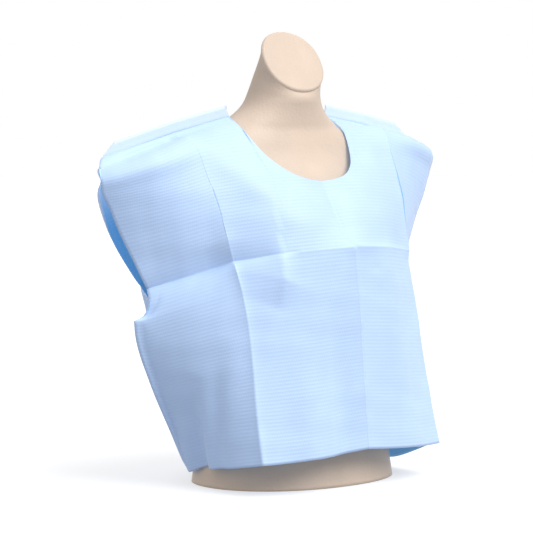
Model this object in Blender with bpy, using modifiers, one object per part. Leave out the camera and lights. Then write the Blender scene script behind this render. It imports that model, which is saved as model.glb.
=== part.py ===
"""Disposable exam cape on a limbless torso form.

Metres, +Z up. The wearer faces -Y and the wearer's left is +X. The origin is the middle of the
form's flat base.

The cape is cut from three flat sheets: one front and two back halves that lap at the centre
back. A sheet is described in its own flat coordinates, "across" from the centre line and "drop"
below the shoulder seam. Short tables say where a few lines of the sheet hang in space (centre,
collar, quarter crease and outer edge), and the wall is worked out from them.
"""

import math
from collections import namedtuple

import bpy
import numpy as np
from mathutils import Vector
from mathutils.bvhtree import BVHTree

# ---------------------------------------------------------------- the flat cut of the cape
LENGTH = 0.533  # shoulder seam to hem, 21 inches
HALF_WIDTH = 0.381  # centre to side seam, 15 inches
QUARTER = HALF_WIDTH / 2  # the factory folds lie on the quarters
COLLAR = 0.098  # half the neck opening, at the shoulder seam
NECK_DEPTH = 0.122  # front scoop
BACK_NECK_DEPTH = 0.025
NECK_SQUARENESS = 2.5  # exponent of the scoop's superellipse; 2 would be an ellipse
FLANGE = 0.017  # sealed strip that stands up along the shoulder seam
FLANGE_TAPER = 0.008  # the strip's outer end is cut back this much at its top
SHOULDER_ROUND = 0.050  # drop over which the sleeve's corner is rounded
CROSS_FOLD = 0.232  # the fold that runs across the front and back
ARMHOLE_FOOT = 0.275  # the side seam starts here
ARMHOLE_RADIUS = 0.025
LIP = 0.010  # sealed edge outside the side seam
LIP_TURN = 25  # degrees that the side lip turns back from straight out
LIP_SAG = 1.7  # at the hem the seam hangs this many lip widths below the lip's edge
LIP_SAG_START = 0.440
LAP = 0.012  # flat allowance of each back half past the centre line

WALL = 0.0012
SEAM_GAP = 0.0003  # between two pieces that are sealed together
REST_GAP = 0.0005  # between the cape and the form it rests on
REST_REACH = 0.012  # how deep a dip of the sheet into the form is looked for
REST_PASSES = 6
LAP_GAP = 0.0026  # between the two back halves where they lap
LAP_STEP_START = 0.005  # past the under half's edge the upper half comes back over this run
LAP_STEP_END = 0.060
SEAM_SAMPLES = 60
SEAM_EASE = 0.050  # drop over which a sheet takes its own curve below the straight seam
SHOULDER_DROOP = 0.009  # the wearer's right shoulder end hangs lower, the left one higher
DROOP_FOOT = 0.400  # height below which the droop has faded away
DROOP_TOP = 0.462

# Where a line of the sheet hangs: drop along the cloth, then the point in space, with "fore"
# towards the front (-Y).
Hang = namedtuple("Hang", "drop out fore up")

FRONT_CENTRE = (
    Hang(0.000, 0.000, -0.016, 0.540),
    Hang(0.035, 0.000, 0.012, 0.516),
    Hang(0.080, 0.000, 0.040, 0.476),
    Hang(0.130, 0.000, 0.067, 0.434),
    Hang(0.180, 0.000, 0.097, 0.391),
    Hang(0.232, 0.000, 0.124, 0.346),
    Hang(0.300, 0.000, 0.131, 0.279),
    Hang(0.380, 0.000, 0.137, 0.202),
    Hang(0.460, 0.000, 0.145, 0.127),
    Hang(0.533, 0.000, 0.152, 0.057),
)
FRONT_COLLAR = (
    Hang(0.000, 0.0945, -0.035, 0.533),
    Hang(0.035, 0.100, -0.003, 0.516),
    Hang(0.080, 0.097, 0.033, 0.474),
    Hang(0.130, 0.095, 0.064, 0.432),
    Hang(0.180, 0.094, 0.090, 0.388),
    Hang(0.232, 0.091, 0.106, 0.341),
    Hang(0.300, 0.089, 0.120, 0.272),
    Hang(0.380, 0.089, 0.128, 0.196),
    Hang(0.460, 0.090, 0.138, 0.119),
    Hang(0.533, 0.092, 0.149, 0.050),
)
FRONT_QUARTER = (
    Hang(0.000, 0.186, -0.052, 0.513),
    Hang(0.035, 0.188, -0.018, 0.504),
    Hang(0.055, 0.186, -0.003, 0.490),
    Hang(0.080, 0.183, 0.008, 0.467),
    Hang(0.130, 0.178, 0.027, 0.421),
    Hang(0.180, 0.173, 0.043, 0.376),
    Hang(0.232, 0.169, 0.058, 0.330),
    Hang(0.300, 0.166, 0.082, 0.265),
    Hang(0.380, 0.167, 0.096, 0.188),
    Hang(0.460, 0.171, 0.110, 0.114),
    Hang(0.533, 0.174, 0.126, 0.046),
)
SHOULDER_EDGE = (
    Hang(0.0000, 0.289, -0.071, 0.491),
    Hang(0.0030, 0.304, -0.067, 0.486),
    Hang(0.0117, 0.318, -0.060, 0.479),
    Hang(0.0289, 0.329, -0.051, 0.468),
)
FRONT_ARMHOLE = (
    Hang(0.050, 0.334, -0.041, 0.457),
    Hang(0.075, 0.325, -0.043, 0.436),
    Hang(0.115, 0.309, -0.043, 0.400),
    Hang(0.145, 0.296, -0.042, 0.372),
    Hang(0.185, 0.278, -0.035, 0.333),
    Hang(0.232, 0.263, -0.021, 0.290),
    Hang(0.250, 0.261, -0.020, 0.272),
    Hang(0.260, 0.263, -0.021, 0.262),
    Hang(0.268, 0.267, -0.023, 0.254),
    Hang(0.273, 0.273, -0.025, 0.249),
)
BACK_ARMHOLE = (
    Hang(0.050, 0.334, -0.045, 0.457),
    Hang(0.075, 0.325, -0.055, 0.437),
    Hang(0.115, 0.309, -0.066, 0.401),
    Hang(0.145, 0.296, -0.071, 0.373),
    Hang(0.185, 0.278, -0.062, 0.333),
    Hang(0.232, 0.263, -0.037, 0.290),
    Hang(0.250, 0.261, -0.027, 0.272),
    Hang(0.260, 0.263, -0.025, 0.262),
    Hang(0.268, 0.267, -0.025, 0.254),
    Hang(0.273, 0.273, -0.026, 0.249),
)
SIDE_SEAM = (
    Hang(0.275, 0.281, -0.027, 0.246),
    Hang(0.300, 0.273, -0.028, 0.224),
    Hang(0.380, 0.239, -0.032, 0.153),
    Hang(0.460, 0.201, -0.039, 0.090),
    Hang(0.533, 0.172, -0.047, 0.036),
)
BACK_LAP = (
    Hang(0.000, -0.010, -0.080, 0.534),
    Hang(0.025, -0.012, -0.093, 0.512),
    Hang(0.080, -0.022, -0.117, 0.463),
    Hang(0.130, -0.034, -0.127, 0.415),
    Hang(0.180, -0.047, -0.133, 0.367),
    Hang(0.232, -0.061, -0.138, 0.317),
    Hang(0.300, -0.080, -0.143, 0.252),
    Hang(0.380, -0.103, -0.147, 0.176),
    Hang(0.460, -0.127, -0.150, 0.101),
    Hang(0.533, -0.150, -0.152, 0.035),
)
BACK_COLLAR = (
    Hang(0.000, 0.0945, -0.035, 0.533),
    Hang(0.025, 0.097, -0.062, 0.523),
    Hang(0.080, 0.090, -0.104, 0.471),
    Hang(0.130, 0.081, -0.120, 0.422),
    Hang(0.180, 0.070, -0.128, 0.373),
    Hang(0.232, 0.056, -0.134, 0.322),
    Hang(0.300, 0.037, -0.140, 0.256),
    Hang(0.380, 0.009, -0.146, 0.178),
    Hang(0.460, -0.018, -0.150, 0.101),
    Hang(0.533, -0.044, -0.153, 0.032),
)
BACK_QUARTER = (
    Hang(0.000, 0.186, -0.052, 0.513),
    Hang(0.035, 0.187, -0.087, 0.500),
    Hang(0.080, 0.182, -0.107, 0.461),
    Hang(0.130, 0.175, -0.118, 0.413),
    Hang(0.180, 0.166, -0.126, 0.364),
    Hang(0.232, 0.153, -0.131, 0.313),
    Hang(0.300, 0.130, -0.136, 0.247),
    Hang(0.380, 0.102, -0.140, 0.170),
    Hang(0.460, 0.074, -0.141, 0.094),
    Hang(0.533, 0.048, -0.142, 0.026),
)

# Level sections of the back below the shoulder blades: how far back the middle stands, and how
# square the section is between the middle and the side edge (2 is an ellipse).
Level = namedtuple("Level", "up back power")
BACK_LEVELS = (
    Level(0.010, 0.152, 1.55),
    Level(0.100, 0.150, 1.60),
    Level(0.180, 0.147, 1.70),
    Level(0.250, 0.143, 1.90),
    Level(0.320, 0.138, 2.20),
    Level(0.370, 0.133, 2.30),
    Level(0.415, 0.127, 2.40),
    Level(0.463, 0.117, 2.50),
    Level(0.540, 0.080, 2.50),
)
BACK_LEVEL_START = 0.040  # drop over which the back passes from its tables to its levels
BACK_LEVEL_FULL = 0.120
BACK_LEVEL_MIDDLE = 0.030  # the levels hold from the neck down within this distance of the middle
BACK_LEVEL_SIDE = 0.075

# How far the sheet swells out of the straight line between the quarter crease and the edge.
Swell = namedtuple("Swell", "drop out")
FRONT_SWELL = (
    Swell(0.000, 0.000),
    Swell(0.030, 0.012),
    Swell(0.080, 0.012),
    Swell(0.160, 0.008),
    Swell(0.232, 0.000),
    Swell(0.300, 0.010),
    Swell(0.420, 0.014),
    Swell(0.533, 0.014),
)
BACK_SWELL = (
    Swell(0.000, 0.000),
    Swell(0.040, 0.012),
    Swell(0.120, 0.014),
    Swell(0.533, 0.014),
)

# ---------------------------------------------------------------- the torso form
# Level sections. The widest line of a section lies at "spine" behind the origin.
Section = namedtuple("Section", "up half_width fore back spine")
TORSO = (
    Section(0.000, 0.163, 0.122, 0.122, 0.000),
    Section(0.050, 0.157, 0.113, 0.113, 0.002),
    Section(0.110, 0.142, 0.099, 0.098, 0.004),
    Section(0.150, 0.136, 0.094, 0.092, 0.006),
    Section(0.200, 0.141, 0.099, 0.095, 0.008),
    Section(0.260, 0.154, 0.110, 0.103, 0.012),
    Section(0.310, 0.162, 0.114, 0.110, 0.016),
    Section(0.350, 0.166, 0.106, 0.114, 0.020),
    Section(0.400, 0.171, 0.076, 0.114, 0.026),
    Section(0.440, 0.173, 0.053, 0.108, 0.032),
    Section(0.465, 0.170, 0.038, 0.100, 0.037),
    Section(0.483, 0.162, 0.030, 0.094, 0.040),
    Section(0.497, 0.148, 0.026, 0.089, 0.042),
    Section(0.508, 0.130, 0.023, 0.084, 0.042),
    Section(0.518, 0.108, 0.021, 0.080, 0.041),
    Section(0.527, 0.088, 0.021, 0.076, 0.038),
    Section(0.536, 0.075, 0.022, 0.073, 0.034),
    Section(0.546, 0.066, 0.024, 0.070, 0.029),
)
# The neck's rings tilt step by step into the slanted cap: where each ring's front and back stand.
NeckRing = namedtuple("NeckRing", "fore fore_up back back_up half_width")
NECK = (
    NeckRing(0.0255, 0.552, 0.0680, 0.560, 0.0610),
    NeckRing(0.0260, 0.557, 0.0620, 0.578, 0.0570),
    NeckRing(0.0255, 0.561, 0.0520, 0.600, 0.0550),
    NeckRing(0.0245, 0.564, 0.0415, 0.621, 0.0540),
    NeckRing(0.0235, 0.566, 0.0320, 0.640, 0.0545),
    NeckRing(0.0225, 0.568, 0.0265, 0.656, 0.0565),
)
SECTION_POWER = 2.15  # a little squarer than an ellipse
RING_POINTS = 36
RING_STEP = 0.018  # the rings' spacing where the form changes slowly
SHOULDER_STEP = 0.006  # and across the shoulders
SHOULDER_FOOT = 0.466
CAP_ROUND = 0.004  # rounded edge of the cap
CAP_TURNS = (45, 90)  # degrees round that edge

# ---------------------------------------------------------------- mesh density
NECK_COLUMNS = 7
MIDDLE_COLUMNS = 5
OUTER_COLUMNS = 7
CORNER_TURNS = (20, 40, 65, 90)  # degrees round the sleeve's corner
UPPER_ROWS = 7
LOWER_ROWS = 11
FOOT_ROWS = 4
MITRE_LIMIT = 1.8  # at a bend a layer is moved at most this many times its thickness
SPLIT_BIAS = 0.01  # share by which a cell's diagonals may differ and still count as alike

PAPER = ("exam_paper", (0.60, 0.80, 0.97, 1.0), 0.75)
FORM = ("form_plastic", (0.83, 0.70, 0.60, 1.0), 0.45)


# ---------------------------------------------------------------- curves through tables
def through(rows, at):
    """The smooth curve (Catmull-Rom slopes) through a table's rows, read at the given drops.

    The first column of a row is where it stands and the rest is its value."""
    table = np.array(rows, float)
    where, value = table[:, 0], table[:, 1:]
    slope = np.gradient(value, where, axis=0)
    at = np.asarray(at, float)
    cell = np.clip(np.searchsorted(where, at, side="right") - 1, 0, len(where) - 2)
    span = where[cell + 1] - where[cell]
    t = ((at - where[cell]) / span)[:, None]
    span = span[:, None]
    return (
        (2 * t**3 - 3 * t**2 + 1) * value[cell]
        + (t**3 - 2 * t**2 + t) * span * slope[cell]
        + (3 * t**2 - 2 * t**3) * value[cell + 1]
        + (t**3 - t**2) * span * slope[cell + 1]
    )


def creased(rows, at):
    """As through(), with a corner at the cross fold and, on an edge, at the armhole's tip."""
    at = np.asarray(at, float)
    corners = [row[0] for row in rows if row[0] in (CROSS_FOLD, ARMHOLE_FOOT)]
    starts, ends = [rows[0][0]] + corners, corners + [rows[-1][0]]
    value = through([row for row in rows if row[0] <= ends[0]], at)
    for start, end in list(zip(starts, ends))[1:]:
        part = through([row for row in rows if start <= row[0] <= end], at)
        value = np.where((at > start)[:, None], part, value)
    return value


# ---------------------------------------------------------------- the flat sheet's rows
def row_drops():
    """The drops of a sheet's rows, from the flange's top to the hem.

    Rows crowd in where the outline turns: by equal angles on the sleeve's round corner and on
    the armhole's foot."""
    corner = SHOULDER_ROUND * (1 - np.cos(np.radians(CORNER_TURNS)))
    upper = np.linspace(SHOULDER_ROUND, CROSS_FOLD, UPPER_ROWS)[1:]
    arc_top = ARMHOLE_FOOT - ARMHOLE_RADIUS
    turns = np.radians(np.linspace(0, 90, FOOT_ROWS + 1))
    foot = arc_top + ARMHOLE_RADIUS * np.sin(turns)
    lower = np.linspace(ARMHOLE_FOOT, LENGTH, LOWER_ROWS)[1:]
    return np.concatenate([[-FLANGE, 0.0], corner, upper, foot, lower])


def neck_points(depth, columns):
    """(across, drop) along the neckline, from the centre to the collar: a superellipse."""
    turns = np.radians(np.linspace(0, 90, columns + 1))
    across = COLLAR * np.sin(turns) ** (2 / NECK_SQUARENESS)
    drop = depth * np.abs(np.cos(turns)) ** (2 / NECK_SQUARENESS)
    drop[-1] = 0
    return list(zip(across, drop))[:-1]


# ---------------------------------------------------------------- where the sheet hangs
def smooth_step(value, start, end):
    """0 up to start, 1 from end on, and a smooth ramp between them."""
    share = np.clip((np.asarray(value) - start) / (end - start), 0, 1)
    return share * share * (3 - 2 * share)


def seam_line(quarter, edge, drop):
    """The line LIP inside a sheet's outer edge, where the side seam is sealed."""
    outer, crease = creased(edge, drop), creased(quarter, drop)
    run = outer - crease
    along = LIP * run / np.linalg.norm(run, axis=1, keepdims=True)
    sag = smooth_step(drop, LIP_SAG_START, LENGTH)
    turn = math.radians(LIP_TURN)
    stands_out = LIP * np.stack(
        [0 * sag + math.cos(turn), 0 * sag - math.sin(turn), LIP_SAG * sag], axis=1
    )
    closed = smooth_step(drop, ARMHOLE_FOOT - ARMHOLE_RADIUS, ARMHOLE_FOOT)[:, None]
    return outer - along * (1 - closed) - stands_out * closed


def middle_point(lines, inner_edge, across, drop):
    """The parabola through the inner edge, collar and quarter lines.

    Along the shoulder seam it is straight, because the front and back are sealed together."""
    s0, s1, s2 = inner_edge, COLLAR, QUARTER
    parabola = (
        lines[0] * (across - s1) * (across - s2) / ((s0 - s1) * (s0 - s2))
        + lines[1] * (across - s0) * (across - s2) / ((s1 - s0) * (s1 - s2))
        + lines[2] * (across - s0) * (across - s1) / ((s2 - s0) * (s2 - s1))
    )
    if across < COLLAR:
        return parabola
    share = (across - COLLAR) / (QUARTER - COLLAR)
    straight = lines[1] * (1 - share) + lines[2] * share
    return straight + (parabola - straight) * smooth_step(drop, 0, SEAM_EASE)[:, None]


def outer_point(crease, seam, swell, share):
    """The straight run from the quarter crease to the seam, swollen away from the body."""
    run = seam - crease
    plan = np.hypot(run[:, 0], run[:, 1])[:, None]
    aside = np.stack([run[:, 1], -run[:, 0], 0 * run[:, 0]], axis=1) / plan
    away = aside * np.sign((aside * crease).sum(axis=1))[:, None]
    return crease + run * share + away * swell * 4 * share * (1 - share)


def sheet_columns(tables, swell, inner_edge, neck, drops):
    """A half sheet as columns of (out, fore, up), from its inner edge to its outer one."""
    inner, collar, quarter, edge = tables
    columns = []
    for across, start in neck:
        rows = start + (drops - drops[0]) * (CROSS_FOLD - start) / (CROSS_FOLD - drops[0])
        rows = np.where(drops < CROSS_FOLD, rows, drops)
        lines = [creased(table, rows) for table in (inner, collar, quarter)]
        columns.append(middle_point(lines, inner_edge, across, rows))
    below = np.maximum(drops, 0)
    flange = np.outer(np.maximum(-drops, 0), (0, 0, 1))
    lines = [creased(table, below) for table in (inner, collar, quarter)]
    taper = np.outer(np.minimum(drops, 0) / FLANGE * FLANGE_TAPER, (1, 0, 0))
    for across in np.linspace(COLLAR, QUARTER, MIDDLE_COLUMNS + 1):
        columns.append(middle_point(lines, inner_edge, across, drops) + flange)
    columns[len(neck)] -= taper
    seam = seam_line(quarter, edge, below)
    bulge = through(swell, below)
    for share in np.linspace(0, 1, OUTER_COLUMNS + 1)[1:]:
        columns.append(outer_point(lines[2], seam, bulge, share) + flange)
    columns.append(creased(edge, below) + flange + taper)
    return np.array(columns)


def placed(columns, side):
    """Columns of (out, fore, up) as a grid of x, y, z for one side (+1 is the wearer's left)."""
    out, fore, up = columns[:, :, 0], columns[:, :, 1], columns[:, :, 2]
    seam_out = SHOULDER_EDGE[0].out
    reach = np.clip((out - COLLAR) / (seam_out - COLLAR), 0, 1)
    droop = side * SHOULDER_DROOP * reach * smooth_step(up, DROOP_FOOT, DROOP_TOP)
    return np.stack([side * out, -fore, up + droop], axis=2).transpose(1, 0, 2)


def front_grid():
    """The front sheet as rows of points, from the wearer's right edge to the left one."""
    tables = (FRONT_CENTRE, FRONT_COLLAR, FRONT_QUARTER, SHOULDER_EDGE + FRONT_ARMHOLE + SIDE_SEAM)
    neck = neck_points(NECK_DEPTH, NECK_COLUMNS)
    half = sheet_columns(tables, FRONT_SWELL, 0.0, neck, row_drops())
    right, left = placed(half, -1), placed(half, 1)
    grid = np.concatenate([right[:, ::-1], left[:, 1:]], axis=1)
    grid[:, :, 1] -= SEAM_GAP / 2
    return grid


def back_bow(out, up, seam):
    """How far back the level section of the back stands, at a distance out from the middle."""
    order = np.argsort(seam[:, 2])
    end_out = np.interp(up, seam[order, 2], seam[order, 0])
    end_back = -np.interp(up, seam[order, 2], seam[order, 1])
    middle, power = through(BACK_LEVELS, up.ravel()).T
    middle, power = middle.reshape(up.shape), power.reshape(up.shape)
    share = np.clip(np.abs(out) / end_out, 0, 1)
    return end_back + (middle - end_back) * (1 - share**power) ** (1 / power)


def back_grid(side):
    """One back half as rows of points, from the wearer's left to the right."""
    drops = row_drops()
    tables = (BACK_LAP, BACK_COLLAR, BACK_QUARTER, SHOULDER_EDGE + BACK_ARMHOLE + SIDE_SEAM)
    neck = [(-LAP, BACK_NECK_DEPTH)] + neck_points(BACK_NECK_DEPTH, NECK_COLUMNS - 2)
    half = sheet_columns(tables, BACK_SWELL, -LAP, neck, drops)
    seam = seam_line(tables[2], tables[3], np.linspace(SHOULDER_ROUND, LENGTH, SEAM_SAMPLES))
    out, fore, up = (half[:-2, :, axis] for axis in range(3))
    low = smooth_step(drops, BACK_LEVEL_START, BACK_LEVEL_FULL)
    near_middle = 1 - smooth_step(np.abs(out), BACK_LEVEL_MIDDLE, BACK_LEVEL_SIDE)
    bowed = np.maximum(low, near_middle)
    half[:-2, :, 1] = fore * (1 - bowed) - back_bow(out, up, seam) * bowed
    grid = placed(half, side)
    grid[:, :, 1] += SEAM_GAP / 2
    if side < 0:
        return grid
    lap_line = creased(BACK_LAP, np.linspace(0, LENGTH, SEAM_SAMPLES))[::-1]
    lapped = np.interp(grid[:, :, 2], lap_line[:, 2], -lap_line[:, 0])
    over = 1 - smooth_step(grid[:, :, 0] - lapped, LAP_STEP_START, LAP_STEP_END)
    over[:, -2:] = 0
    grid = grid[:, ::-1]
    return grid + grid_offsets(grid) * (WALL + LAP_GAP) * over[:, ::-1, None]


# ---------------------------------------------------------------- walls
def grid_offsets(grid):
    """How far each point of a grid moves for a layer one unit thick laid on the outside.

    The move is along the mean of the neighbouring cells' normals, lengthened at a bend so that
    the layer keeps its thickness."""
    across = grid[:-1, 1:] - grid[1:, :-1]
    down = grid[1:, 1:] - grid[:-1, :-1]
    cells = np.cross(down, across)
    cells /= np.linalg.norm(cells, axis=2, keepdims=True)
    total = np.zeros_like(grid)
    count = np.zeros(grid.shape[:2] + (1,))
    for rows in (slice(None, -1), slice(1, None)):
        for columns in (slice(None, -1), slice(1, None)):
            total[rows, columns] += cells
            count[rows, columns] += 1
    size = np.linalg.norm(total, axis=2, keepdims=True)
    return total / size * np.minimum(count / size, MITRE_LIMIT)


def grid_triangles(grid):
    """Each cell of a grid as two triangles, split along its shorter diagonal.

    Where the two are much alike the split runs down towards the middle of the body."""
    rows, columns = grid.shape[:2]
    index = np.arange(rows * columns).reshape(rows, columns)
    a, b = index[:-1, :-1].ravel(), index[:-1, 1:].ravel()
    c, d = index[1:, 1:].ravel(), index[1:, :-1].ravel()
    points = grid.reshape(-1, 3)
    first = np.linalg.norm(points[a] - points[c], axis=1)
    second = np.linalg.norm(points[b] - points[d], axis=1)
    outward = np.abs(points[b, 0]) > np.abs(points[a, 0])
    leaning = np.where(outward, -1, 1) * SPLIT_BIAS * (first + second)
    by_first = (first < second + leaning)[:, None]
    upper = np.where(by_first, np.stack([a, b, c], axis=1), np.stack([a, b, d], axis=1))
    lower = np.where(by_first, np.stack([a, c, d], axis=1), np.stack([b, c, d], axis=1))
    return np.concatenate([upper, lower])


def clear_of_form(grid, form):
    """Moves a sheet out wherever it would dip into the form, so it rests REST_GAP away.

    The sheet's points are tested against the form, then the form's points against the sheet."""
    solid = BVHTree.FromPolygons(
        [v.co for v in form.data.vertices], [p.vertices for p in form.data.polygons]
    )
    points = grid.reshape(-1, 3).copy()
    faces = grid_triangles(grid)
    tested = [[i] for i in range(len(points))] + faces.tolist()
    tested += [[a, b] for face in faces.tolist() for a, b in zip(face, face[1:] + face[:1])]
    for _ in range(REST_PASSES):
        for corners in tested:
            point = Vector(points[corners].mean(axis=0))
            near, outward, _, _ = solid.find_nearest(point)
            short = REST_GAP - (point - near).dot(outward)
            if short > 0:
                points[corners] += np.array(outward) * short
        sheet = BVHTree.FromPolygons(points.tolist(), faces.tolist())
        for vertex in form.data.vertices:
            start = vertex.co - vertex.normal * REST_REACH
            hit, _, face, distance = sheet.ray_cast(start, vertex.normal, 2 * REST_REACH)
            if hit is not None and distance < REST_REACH + REST_GAP:
                move = REST_REACH + REST_GAP - distance
                points[faces[face]] += np.array(vertex.normal) * move
    return points.reshape(grid.shape)


def wall_object(name, grid, collection, material):
    """A sheet on a grid of points, thickened by WALL on its outside."""
    mesh = bpy.data.meshes.new(name)
    mesh.from_pydata(grid.reshape(-1, 3).tolist(), [], grid_triangles(grid)[:, ::-1].tolist())
    sheet = finished(name, mesh, collection, material)
    wall = sheet.modifiers.new("wall", "SOLIDIFY")
    wall.thickness = WALL
    wall.offset = 1
    wall.use_quality_normals = True
    return sheet


# ---------------------------------------------------------------- the form
def oval(half_width, fore, back):
    """A ring, squarer than an ellipse, through a front point and a back one, each (y, z).

    The part of the ring in front of its middle and the part behind it are alike."""
    angles = np.linspace(0, 2 * math.pi, RING_POINTS, endpoint=False)
    c, s = np.cos(angles), np.sin(angles)
    x = half_width * np.sign(c) * np.abs(c) ** (2 / SECTION_POWER)
    share = (1 + np.sign(s) * np.abs(s) ** (2 / SECTION_POWER)) / 2
    fore, back = np.array(fore), np.array(back)
    plane = fore + np.outer(share, back - fore)
    return np.column_stack([x, plane])


def level_ring(section):
    """A level ring whose widest line lies at the spine, so front and back differ in depth."""
    up, half_width, fore, back, spine = section
    points = oval(half_width, (-1, up), (1, up))
    depth = np.where(points[:, 1] < 0, fore + spine, back - spine)
    points[:, 1] = spine + depth * points[:, 1]
    return points


def form_rings():
    """The form's rings from the base to the cap's rounded edge."""
    top = TORSO[-1].up
    lower = np.arange(0, SHOULDER_FOOT, RING_STEP)
    upper = np.linspace(SHOULDER_FOOT, top, round((top - SHOULDER_FOOT) / SHOULDER_STEP))
    heights = np.concatenate([lower, upper])
    rings = [level_ring(s) for s in np.column_stack([heights, through(TORSO, heights)])]
    for ring in NECK:
        rings.append(oval(ring.half_width, (-ring.fore, ring.fore_up), (ring.back, ring.back_up)))
    rim = NECK[-1]
    fore, back = np.array([-rim.fore, rim.fore_up]), np.array([rim.back, rim.back_up])
    along = (back - fore) / np.linalg.norm(back - fore)
    away = np.array([-along[1], along[0]])
    for turn in np.radians(CAP_TURNS):
        inset = CAP_ROUND * (1 - math.cos(turn))
        lift = away * CAP_ROUND * math.sin(turn)
        rings.append(oval(rim.half_width - inset, fore + along * inset + lift,
                          back - along * inset + lift))
    return rings


def torso_form(collection, material):
    rings = form_rings()
    points = np.concatenate(rings)
    faces = [list(range(RING_POINTS))[::-1]]
    for level in range(len(rings) - 1):
        base = level * RING_POINTS
        for i in range(RING_POINTS):
            j = (i + 1) % RING_POINTS
            faces.append([base + i, base + j, base + RING_POINTS + j, base + RING_POINTS + i])
    top = (len(rings) - 1) * RING_POINTS
    faces.append([top + i for i in range(RING_POINTS)])
    mesh = bpy.data.meshes.new("torso_form")
    mesh.from_pydata(points.tolist(), [], faces)
    return finished("torso_form", mesh, collection, material)


# ---------------------------------------------------------------- scene
def finished(name, mesh, collection, material):
    mesh.materials.append(material)
    mesh.shade_smooth()
    obj = bpy.data.objects.new(name, mesh)
    collection.objects.link(obj)
    return obj


def new_material(name, colour, roughness):
    material = bpy.data.materials.new(name)
    material.use_nodes = True
    shader = material.node_tree.nodes["Principled BSDF"]
    shader.inputs["Base Color"].default_value = colour
    shader.inputs["Roughness"].default_value = roughness
    return material


def main():
    for obj in list(bpy.data.objects):
        bpy.data.objects.remove(obj)
    collection = bpy.data.collections.new("exam_cape")
    bpy.context.scene.collection.children.link(collection)
    paper = new_material(*PAPER)
    plastic = new_material(*FORM)

    form = torso_form(collection, plastic)
    wall_object("front_panel", clear_of_form(front_grid(), form), collection, paper)
    for name, side in (("back_right", -1), ("back_left", 1)):
        wall_object(name, clear_of_form(back_grid(side), form), collection, paper)


main()
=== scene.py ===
"""Looks of a disposable exam cape, cut from embossed paper, on a limbless torso form.

Metres, +Z up. The wearer faces -Y and the wearer's left is +X. The cape is one front sheet and
two back halves that lap at the centre back. A point of a sheet is known by its flat coordinates:
"across" from the centre line (the wearer's right is negative) and "drop" below the shoulder seam.
"""

import math
from collections import namedtuple

import bpy
import numpy as np
from bpy.props import FloatProperty, FloatVectorProperty, PointerProperty
from bpy.types import Operator, Panel, PropertyGroup
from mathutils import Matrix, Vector


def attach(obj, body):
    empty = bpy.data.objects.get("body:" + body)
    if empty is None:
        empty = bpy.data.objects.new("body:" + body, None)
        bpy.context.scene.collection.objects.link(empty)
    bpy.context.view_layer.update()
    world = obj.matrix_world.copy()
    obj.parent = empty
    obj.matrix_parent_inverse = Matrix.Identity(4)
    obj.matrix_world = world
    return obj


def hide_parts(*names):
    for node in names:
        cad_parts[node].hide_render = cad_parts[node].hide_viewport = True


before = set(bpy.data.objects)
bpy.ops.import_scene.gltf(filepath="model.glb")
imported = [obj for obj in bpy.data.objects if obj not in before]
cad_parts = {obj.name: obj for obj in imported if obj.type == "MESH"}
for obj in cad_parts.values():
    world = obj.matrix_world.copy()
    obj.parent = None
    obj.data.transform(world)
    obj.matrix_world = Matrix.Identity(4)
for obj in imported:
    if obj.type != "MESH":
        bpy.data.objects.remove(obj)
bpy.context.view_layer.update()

bl_info = {
    "name": "Exam cape on a torso form",
    "version": (1, 0, 0),
    "blender": (4, 5, 0),
    "location": "3D View > Sidebar > Exam cape",
    "description": "Builds an embossed paper exam cape, its torso form and a plain studio",
    "category": "Add Mesh",
}


def table(kind, *rows):
    """Rows of values under the names of a named tuple."""
    return tuple(kind(*row) for row in rows)


# ---------------------------------------------------------------- the flat cut of the cape
LENGTH = 0.533  # shoulder seam to hem
HALF_WIDTH = 0.381  # centre to side seam
QUARTER = HALF_WIDTH / 2  # the factory folds lie on the quarters
COLLAR = 0.098  # half the neck opening, at the shoulder seam
NECK_DEPTH = 0.122
BACK_NECK_DEPTH = 0.025
NECK_SQUARENESS = 2.5
FLANGE = 0.017
NECK_TAPER = 0.008
SHOULDER_ROUND = 0.050
CROSS_FOLD = 0.232
ARMHOLE_FOOT = 0.275
ARMHOLE_RADIUS = 0.025
LIP = 0.010
LIP_TURN = 25  # degrees backward
LIP_LOOK = 0.01  # beside the armhole the lip runs straight on from this last share of the sheet
LIP_SAG = 1.7
LIP_SAG_START = 0.440
LAP = 0.012
LAP_COLUMNS = 4
WALL = 0.0012  # the CAD wall, whose middle the paper follows
SEAM_GAP = 0.0003
LAP_STEP = 0.0038
LAP_STEP_START = 0.005
LAP_STEP_END = 0.060
SEAM_SAMPLES = 60
SEAM_EASE = 0.050

# How the two sides differ: the shoulder's end stands higher and further fore, the strip's outer
# end is cut back at its top, and the hem hangs lower beside the side seam.
Side = namedtuple("Side", "sign lift fore taper dip")
RIGHT = Side(-1, -0.012, 0.000, 0.021, 0.000)
LEFT = Side(1, 0.011, 0.010, 0.034, 0.015)
LIFT_START, LIFT_FULL = 0.400, 0.462
FORE_START, FORE_FULL = 0.300, 0.420
DIP_FULL, DIP_START = 0.030, 0.280
DIP_FRONT = (-0.120, -0.025)
DIP_BACK = (0.070, 0.140)
DIP_OUT = (0.000, 0.080)

Hang = namedtuple("Hang", "drop out fore up")

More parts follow.
